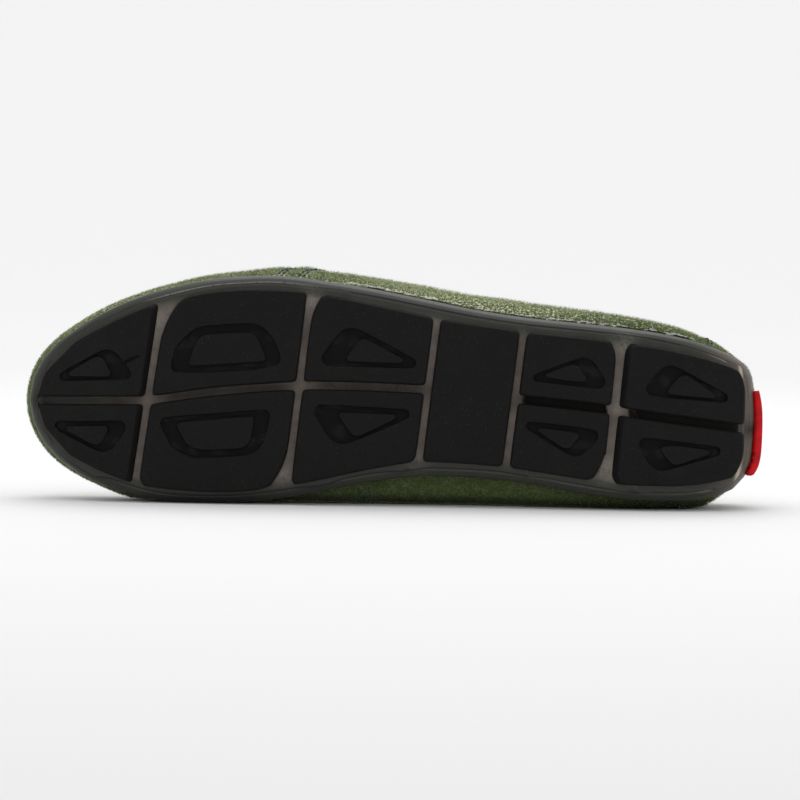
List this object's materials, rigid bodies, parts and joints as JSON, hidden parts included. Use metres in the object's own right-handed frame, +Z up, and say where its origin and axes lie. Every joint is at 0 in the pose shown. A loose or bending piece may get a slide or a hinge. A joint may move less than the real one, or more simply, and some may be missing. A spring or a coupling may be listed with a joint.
{
  "type": "slip-on driving shoe",
  "caption": "Left-foot slip-on driving shoe of green suede on a smoky rubber cup sole with black tread pads and a red heel tab, lying on its inner side.",
  "frame": {"origin": "centre of the bounding box on the floor under the shoe as it lies", "axes": "+X from toe to heel along the shoe's length, -Y the way the tread faces, +Z up, with the outer side of the foot on top"},
  "size_m": [0.2914, 0.0718, 0.0913],
  "materials": {
    "smoky_rubber": "glossy, slightly translucent",
    "black_tread_rubber": "matt",
    "green_suede": "napped suede",
    "insole_leather": "smooth matt",
    "red_rubber": "satin"
  },
  "bodies": {
    "root": {"outsole": "smoky_rubber", "tread_toe_lateral": "black_tread_rubber", "tread_toe_medial": "black_tread_rubber", "tread_forefoot_lateral": "black_tread_rubber", "tread_forefoot_medial": "black_tread_rubber", "tread_ball_lateral": "black_tread_rubber", "tread_ball_medial": "black_tread_rubber", "tread_waist": "black_tread_rubber", "tread_heel_front_lateral": "black_tread_rubber", "tread_heel_front_medial": "black_tread_rubber", "tread_heel_back_lateral": "black_tread_rubber", "tread_heel_back_medial": "black_tread_rubber", "upper": "green_suede", "insole": "insole_leather", "heel_tab": "red_rubber"}
  },
  "joints": []
}
